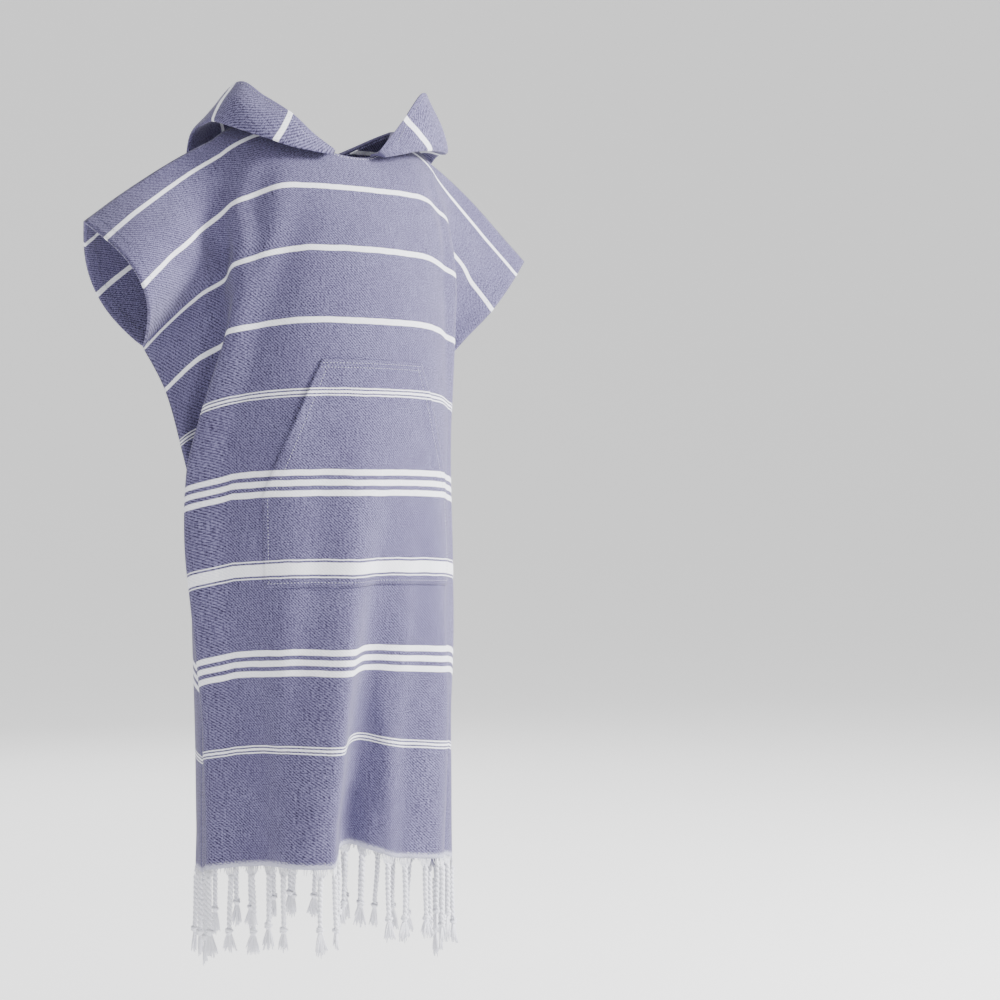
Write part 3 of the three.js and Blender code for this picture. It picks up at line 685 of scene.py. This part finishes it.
def strand(soup, root, outward, sideways, n, hem_way):
    """One twisted strand: gathered warp yarns, a two-ply cord, a knot and a loose brush of yarn ends."""
    length = FRINGE_LENGTH * (0.92 + 0.14 * scatter(n * 7))
    lean = (0.1 * (scatter(n * 3) - 0.5), 0.06 * (scatter(n * 5) - 0.4))
    knot_at = 0.66 + 0.07 * scatter(n * 11)
    sway, phase = 1.8 * (scatter(n * 13) - 0.5) * 2, 6.28 * scatter(n * 17)

    def spine(at):
        at = np.asarray(at, dtype=float)[..., None]
        down = np.array([0, 0, -1.0])
        bend = np.sin(at * 5.0 + phase) - math.sin(phase)
        return (
            root
            + down * length * at
            + sideways * (lean[0] * length * at**2 + sway * bend)
            + outward * (lean[1] * length * at**2)
        )

    cord_at = np.linspace(0.06, knot_at, 34)
    centre = spine(cord_at)
    turn = 2 * math.pi * cord_at * length / 14.0 + phase
    taper = 1.0 - 0.18 * (cord_at / knot_at)
    for ply in (0, math.pi):
        helix = centre + 2.1 * (
            np.cos(turn + ply)[:, None] * sideways + np.sin(turn + ply)[:, None] * outward
        ) * taper[:, None]
        soup.tube(helix, 2.5 * taper, 7)
    # the knot: one tight turn round the cord over a small core
    knot_turn = np.linspace(0, 2 * math.pi * 1.25, 16)
    knot_centre = spine(knot_at) + np.outer(np.linspace(-2.2, 2.4, 16), [0, 0, -1.0])
    ring = knot_centre + 3.7 * (np.cos(knot_turn)[:, None] * sideways + np.sin(knot_turn)[:, None] * outward)
    soup.tube(ring, np.full(16, 2.4), 6)
    core = spine(np.linspace(knot_at - 0.02, knot_at + 0.05, 4))
    soup.tube(core, [1.8, 4.0, 4.0, 2.2], 7)
    # the brush of loose yarn ends
    spread = 6.5 + 3.5 * scatter(n * 19)
    tail = np.linspace(knot_at + 0.01, 1, 5)
    for k in range(15):
        side_way = (k / 14 - 0.5) * 2
        front_way = (scatter(n * 29 + k * 3) - 0.5) * 2
        tip = 1 - 0.07 * scatter(n * 31 + k * 5) - 0.04 * abs(side_way)
        at = knot_at + (tail - knot_at) * (tip - knot_at) / (1 - knot_at)
        open_out = (np.linspace(0, 1, 5) ** 0.8)[:, None]
        wave = 0.8 * np.sin(np.linspace(0, 4, 5) + k)[:, None] * open_out
        path = spine(at) + sideways * (side_way * spread * open_out + wave) + outward * (
            front_way * spread * 0.45 * open_out
        )
        soup.tube(path, [1.5, 1.7, 1.6, 1.4, 0.7], 4)
    # warp yarns gathered from the hem into the cord
    for k in range(7):
        away = (k / 6 - 0.5) * 2
        start = root + hem_way * away * 8.5 + np.array([0, 0, HEM_STRIP * 0.6 + 1.0])
        stop = spine(0.1 + 0.02 * scatter(n + k))
        bend = mix(start, stop, 0.55) + hem_way * away * 2.2
        soup.tube([start, bend, stop], [0.9, 1.0, 0.9], 4)


def fringe_object(name, points, normals, seed):
    soup = Soup()
    hem, hem_normals = points[0], normals[0]
    for n in range(FRINGE_COUNT):
        share = (n + 0.5) / FRINGE_COUNT * 2 - 1 + 0.03 * (scatter(n + seed) - 0.5)
        place = np.array([np.interp(share, shares, hem[:, k]) for k in range(3)])
        ahead = np.array([np.interp(share + 0.01, shares, hem[:, k]) for k in range(3)])
        normal = np.array([np.interp(share, shares, hem_normals[:, k]) for k in range(3)])
        outward = unit(np.array([normal[0], normal[1], 0]))
        sideways = np.array([outward[1], -outward[0], 0])
        root = place + np.array([0, 0, -0.3 - HEM_STRIP * 0.55])
        strand(soup, root, outward, sideways, n + seed, unit(ahead - place))
    # short broken ends of weft and warp along the woven edge
    for k in range(150):
        share = -0.99 + 1.98 * (k + 0.6 * scatter(seed + k * 2.3)) / 150
        place = np.array([np.interp(share, shares, hem[:, i]) for i in range(3)])
        side = (scatter(seed + k * 1.7) - 0.5) * 6
        tip = place + np.array([side, 0, -3.5 - 5 * scatter(seed + k * 3.1)])
        soup.tube([place + np.array([0, 0, 1.5]), mix(place, tip, 0.6), tip], [0.75, 0.7, 0.35], 3)
    return soup.build(name)


fringe_front = fringe_object("fringe_front_cords", front_points, front_normals, 1)
fringe_back = fringe_object("fringe_back_cords", back_points, back_normals, 50)


# Stitching: short raised threads along a line of points with normals


def stitch_line(soup, points, normals, pitch, length, width, lift):
    steps = np.linalg.norm(np.diff(points, axis=0), axis=1)
    lengths = np.concatenate([[0], np.cumsum(steps)])
    for at in np.arange(pitch / 2, lengths[-1], pitch):
        def read(values, where):
            return np.array([np.interp(where, lengths, values[:, k]) for k in range(3)])

        normal = unit(read(normals, at))
        a, b = (read(points, at + d) + normal * lift for d in (-length / 2, length / 2))
        middle = (a + b) / 2
        beside = unit(np.cross(b - a, normal)) * width / 2
        start = len(soup.verts)
        soup.verts += [a, b, middle + beside, middle - beside, middle + normal * width * 0.7]
        soup.faces += [
            (start, start + 4, start + 2),
            (start + 2, start + 4, start + 1),
            (start + 1, start + 4, start + 3),
            (start + 3, start + 4, start),
            (start, start + 2, start + 1, start + 3),
        ]


light_thread, dark_thread = Soup(), Soup()
neck_share = np.linspace(-0.36, 0.36, 90)
neck_share = neck_share[np.abs(neck_share) < 0.245]
points, normals, cut = on_body(neck_share, np.full(len(neck_share), LENGTH - 7.0), "front")
stitch_line(light_thread, points, normals, 5.0, 3.0, 1.2, WALL / 2 + 0.1)
points, normals, cut = on_body(neck_share, np.full(len(neck_share), LENGTH - 7.0), "back")
stitch_line(light_thread, points, normals, 5.0, 3.0, 1.2, WALL / 2 + 0.1)


def pocket_seam(level_from, level_to, s_from, s_to, count=80):
    t = np.linspace(0, 1, count)
    level, s = mix(level_from, level_to, t), mix(s_from, s_to, t)
    points, normals, cut = on_body(s * pocket_half(level), level, "front")
    lift = [np.interp(v, pocket_levels, pocket_lift[:, int(round((sv + 1) * 30))]) for v, sv in zip(level, s)]
    return points + normals * (np.array(lift)[:, None] + 1.5), normals


SEAM_S = 0.955
for ends in (
    (POCKET["top"] - 5, POCKET["top"] - 5, -0.97, 0.97),
    (POCKET["top"] - 11, POCKET["top"] - 11, -0.97, 0.97),
    (POCKET["foot"] + 6, POCKET["foot"] + 6, -0.98, 0.98),
    (POCKET["foot"] + 6, POCKET["bend"], SEAM_S, SEAM_S),
    (POCKET["foot"] + 6, POCKET["bend"], -SEAM_S, -SEAM_S),
    (POCKET["bend"] + 4, POCKET["top"] - 5, 0.9, 0.86),
    (POCKET["bend"] + 4, POCKET["top"] - 5, -0.9, -0.86),
):
    points, normals = pocket_seam(*ends)
    stitch_line(light_thread, points, normals, 4.6, 2.7, 0.9, 0.05)

cuff_levels = np.linspace(CUFF_FOOT + 4, LENGTH - 4, 60)
for face in ("front", "back"):
    for sign in (-1, 1):
        points, normals, cut = on_body(np.full(60, sign * (1 - 18 / 410)), cuff_levels, face)
        stitch_line(dark_thread, points, normals, 5.0, 3.0, 0.9, WALL / 2 + 0.05)
        stitch_line(dark_thread, points - 0 * normals, -normals, 5.0, 3.0, 0.9, WALL / 2 + 1.2)

for side, (points, normals, cut) in hoods.items():
    near_rim = np.argmin(np.abs(np.abs(cut[:, :, 0]) - 13), axis=0)
    usable = np.arange(10, HOOD_ALONG - 1)
    line = points[near_rim[usable], usable]
    line_normals = normals[near_rim[usable], usable]
    for way in (1, -1):
        stitch_line(light_thread, line, line_normals * way, 4.6, 2.7, 0.8, 0.95 if way > 0 else 1.7)

stitches_light = light_thread.build("stitches_light")
stitches_dark = dark_thread.build("stitches_dark")


# Materials


def srgb(r, g, b):
    def linear(c):
        c = c / 255
        return c / 12.92 if c <= 0.04045 else ((c + 0.055) / 1.055) ** 2.4

    return (linear(r), linear(g), linear(b), 1)


class Nodes:
    """A short way to write a material's nodes."""

    def __init__(self, name):
        self.material = bpy.data.materials.new(name)
        self.material.use_nodes = True
        self.tree = self.material.node_tree
        self.tree.nodes.clear()
        self.shader = self.tree.nodes.new("ShaderNodeBsdfPrincipled")
        output = self.tree.nodes.new("ShaderNodeOutputMaterial")
        self.tree.links.new(self.shader.outputs[0], output.inputs["Surface"])

    def node(self, kind, **settings):
        node = self.tree.nodes.new(kind)
        for key, value in settings.items():
            setattr(node, key, value)
        return node

    def feed(self, socket, value):
        if isinstance(value, bpy.types.NodeSocket):
            self.tree.links.new(value, socket)
        else:
            socket.default_value = value

    def math(self, operation, a, b=0.0, clamp=False):
        node = self.node("ShaderNodeMath", operation=operation, use_clamp=clamp)
        self.feed(node.inputs[0], a)
        self.feed(node.inputs[1], b)
        return node.outputs[0]

    def noise(self, vector, scale, detail=2.0, roughness=0.5):
        node = self.node("ShaderNodeTexNoise")
        self.feed(node.inputs["Vector"], vector)
        self.feed(node.inputs["Scale"], scale)
        self.feed(node.inputs["Detail"], detail)
        self.feed(node.inputs["Roughness"], roughness)
        return node.outputs["Fac"]

    def vector(self, x, y, z=0.0):
        node = self.node("ShaderNodeCombineXYZ")
        for socket, value in zip(node.inputs, (x, y, z)):
            self.feed(socket, value)
        return node.outputs[0]

    def blend(self, factor, a, b, mode="MIX"):
        node = self.node("ShaderNodeMix", data_type="RGBA", blend_type=mode)
        self.feed(node.inputs[0], factor)
        self.feed(node.inputs[6], a)
        self.feed(node.inputs[7], b)
        return node.outputs[2]

    def bump(self, height, strength, distance, normal=None):
        node = self.node("ShaderNodeBump")
        node.inputs["Strength"].default_value = strength
        node.inputs["Distance"].default_value = distance
        self.feed(node.inputs["Height"], height)
        if normal is not None:
            self.feed(node.inputs["Normal"], normal)
        return node.outputs[0]


def cloth_material(name, stripes, hem_band):
    """Chambray twill: a coloured warp over a pale weft, with white weft stripes."""
    n = Nodes(name)
    uv = n.node("ShaderNodeUVMap", uv_map="cut")
    parts = n.node("ShaderNodeSeparateXYZ")
    n.feed(parts.inputs[0], uv.outputs[0])
    u = n.math("MULTIPLY", parts.outputs[0], 1000.0)
    v = n.math("MULTIPLY", parts.outputs[1], 1000.0)
    wander = n.noise(n.vector(u, v), 0.035, 2.0)
    wobbly = n.math("ADD", v, n.math("MULTIPLY", n.math("SUBTRACT", wander, 0.5), 2.2))
    white = 0.0
    for middle, width in stripes:
        away = n.math("ABSOLUTE", n.math("SUBTRACT", wobbly, float(middle)))
        inside = n.math("MULTIPLY_ADD", away, -1.4, False)
        inside.node.inputs[2].default_value = 1.4 * width / 2 + 0.5
        inside.node.use_clamp = True
        white = inside if isinstance(white, float) else n.math("MAXIMUM", white, inside)
    # twill lines, and single yarns of uneven strength both ways
    diagonal = n.math("SINE", n.math("MULTIPLY", n.math("ADD", u, v), 2 * math.pi / 4.4))
    warp = n.noise(n.vector(n.math("MULTIPLY", u, 0.9), n.math("MULTIPLY", v, 0.035)), 1.0, 2.0)
    weft = n.noise(n.vector(n.math("MULTIPLY", u, 0.035), n.math("MULTIPLY", v, 0.9)), 1.0, 2.0)
    grain = n.noise(n.vector(n.math("MULTIPLY", u, 0.34), n.math("MULTIPLY", v, 0.62)), 1.0, 1.5, 0.6)
    cloud = n.noise(n.vector(u, v), 0.012, 3.0)
    shade = n.math("ADD", n.math("MULTIPLY", diagonal, 0.3), n.math("MULTIPLY", n.math("SUBTRACT", warp, 0.5), 0.9))
    shade = n.math("ADD", shade, n.math("MULTIPLY", n.math("SUBTRACT", weft, 0.5), 0.6))
    shade = n.math("ADD", shade, n.math("MULTIPLY", n.math("SUBTRACT", grain, 0.5), 2.6))
    shade = n.math("ADD", shade, 0.5, clamp=True)
    dyed = n.blend(shade, srgb(25, 20, 43), srgb(130, 126, 166))
    dyed = n.blend(n.math("MULTIPLY", cloud, 0.5), dyed, srgb(74, 64, 100))
    pale = n.blend(n.math("ADD", n.math("MULTIPLY", shade, 0.5), 0.45, clamp=True), srgb(196, 197, 216), srgb(247, 247, 252))
    colour = n.blend(white, dyed, pale)
    if hem_band:
        ragged = n.math("ADD", wobbly, n.math("MULTIPLY", n.math("SUBTRACT", grain, 0.5), 16.0))
        band = n.math("MULTIPLY_ADD", ragged, -0.3)
        band.node.inputs[2].default_value = 0.3 * 8.0
        band.node.use_clamp = True
        colour = n.blend(n.math("MULTIPLY", band, 0.6), colour, srgb(206, 206, 224))
    height = n.math("ADD", n.math("MULTIPLY", diagonal, 0.5), n.math("MULTIPLY", grain, 0.9))
    height = n.math("ADD", height, n.math("MULTIPLY", white, 0.7))
    n.feed(n.shader.inputs["Base Color"], colour)
    n.feed(n.shader.inputs["Normal"], n.bump(height, 0.35, 0.0005))
    n.shader.inputs["Roughness"].default_value = 0.9
    n.shader.inputs["Sheen Weight"].default_value = 0.15
    n.shader.inputs["Sheen Roughness"].default_value = 0.5
    n.shader.inputs["Specular IOR Level"].default_value = 0.25
    return n.material


def yarn_material(name, light, dark, spacing):
    n = Nodes(name)
    where = n.node("ShaderNodeTexCoord").outputs["Object"]
    fine = n.noise(where, 1 / spacing, 3.0, 0.7)
    colour = n.blend(fine, dark, light)
    n.feed(n.shader.inputs["Base Color"], colour)
    n.feed(n.shader.inputs["Normal"], n.bump(fine, 0.5, 0.0006))
    n.shader.inputs["Roughness"].default_value = 0.88
    n.shader.inputs["Sheen Weight"].default_value = 0.3
    return n.material


def wear(obj, material):
    obj.data.materials.clear()
    obj.data.materials.append(material)


body_cloth = cloth_material("body_cloth", BODY_STRIPES, True)
hood_cloth = cloth_material("hood_cloth", HOOD_STRIPES, False)
white_yarn = yarn_material("white_yarn", srgb(252, 252, 255), srgb(206, 206, 220), 0.0022)
pale_thread = yarn_material("pale_thread", srgb(220, 220, 236), srgb(180, 182, 206), 0.001)
deep_thread = yarn_material("deep_thread", srgb(70, 72, 104), srgb(48, 50, 78), 0.001)
for obj in (front, back, pocket):
    wear(obj, body_cloth)
for obj in (hood_left, hood_right):
    wear(obj, hood_cloth)
for obj in (fringe_front, fringe_back):
    wear(obj, white_yarn)
wear(stitches_light, pale_thread)
wear(stitches_dark, deep_thread)

# Each piece goes on the root body, and its part from model.glb is hidden
for obj, node in (
    (front, "front"),
    (back, "back"),
    (pocket, "pocket"),
    (hood_left, "hood_left"),
    (hood_right, "hood_right"),
    (fringe_front, "fringe_front"),
    (fringe_back, "fringe_back"),
):
    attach(obj, "root")
    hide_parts(node)
for obj in (stitches_light, stitches_dark):
    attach(obj, "root")

# The studio


def look_at(obj, target):
    obj.rotation_euler = (Vector(target) - obj.location).to_track_quat("-Z", "Y").to_euler()


camera_data = bpy.data.cameras.new("camera")
camera = bpy.data.objects.new("camera", camera_data)
bpy.context.collection.objects.link(camera)
camera_data.sensor_width = 36
camera_data.lens = 75.6
AZIMUTH, DISTANCE, CAMERA_Z, YAW = math.radians(-30), 3.0, -0.53, math.radians(4.74)
ahead = Vector((-math.sin(AZIMUTH), math.cos(AZIMUTH), 0))
right = Vector((math.cos(AZIMUTH), math.sin(AZIMUTH), 0))
camera.location = Vector((0, 0, CAMERA_Z)) - ahead * DISTANCE
look_at(camera, camera.location + ahead * math.cos(YAW) + right * math.sin(YAW))
bpy.context.scene.camera = camera


def area_light(name, place, target, size, power, colour=(1, 1, 1)):
    data = bpy.data.lights.new(name, "AREA")
    data.shape = "SQUARE"
    data.size = size
    data.energy = power
    data.color = colour
    obj = bpy.data.objects.new(name, data)
    bpy.context.collection.objects.link(obj)
    obj.location = place
    look_at(obj, target)


area_light("key", (2.7, -2.3, 1.2), (0, 0, -0.5), 1.1, 470)
area_light("fill", (-3.2, -1.8, 0.4), (0, 0, -0.6), 2.4, 8, (0.95, 0.97, 1))
area_light("top", (0.2, -0.4, 2.6), (0, 0, -0.3), 2.0, 40)
area_light("behind", (0.8, 3.2, 1.2), (0, 0, -0.5), 2.4, 70)

world = bpy.data.worlds.new("studio")
bpy.context.scene.world = world
world.use_nodes = True
world.node_tree.nodes["Background"].inputs[0].default_value = (1, 1, 1, 1)
world.node_tree.nodes["Background"].inputs[1].default_value = 0.5

# A level floor that rises far off on all sides, so that no horizon shows
FLOOR_Z = -1330.0
SWEEP_FROM, SWEEP_TO, SWEEP_RISE = 6000.0, 34000.0, 16000.0
radii = np.concatenate([[1, 3000], np.linspace(SWEEP_FROM, SWEEP_TO, 15)])
turns = np.linspace(0, 2 * math.pi, 49)[:-1]
rise = SWEEP_RISE * (np.clip(radii - SWEEP_FROM, 0, None) / (SWEEP_TO - SWEEP_FROM)) ** 2
floor_verts = [
    (radius * math.cos(turn), radius * math.sin(turn), FLOOR_Z + up)
    for radius, up in zip(radii, rise)
    for turn in turns
]
floor_faces = [
    (i * 48 + k, (i + 1) * 48 + k, (i + 1) * 48 + (k + 1) % 48, i * 48 + (k + 1) % 48)
    for i in range(len(radii) - 1)
    for k in range(48)
]
floor_faces.append(tuple(range(48)))
floor = new_object("floor", floor_verts, floor_faces)
floor_nodes = Nodes("floor_pale")
floor_where = floor_nodes.node("ShaderNodeTexCoord").outputs["Object"]
floor_noise = floor_nodes.noise(floor_where, 3.0, 3.0)
floor_nodes.feed(
    floor_nodes.shader.inputs["Base Color"],
    floor_nodes.blend(floor_noise, (0.9, 0.9, 0.905, 1), (0.94, 0.94, 0.94, 1)),
)
floor_nodes.shader.inputs["Roughness"].default_value = 0.85
floor_nodes.shader.inputs["Emission Color"].default_value = (1, 1, 1, 1)
floor_nodes.shader.inputs["Emission Strength"].default_value = 0.5
wear(floor, floor_nodes.material)
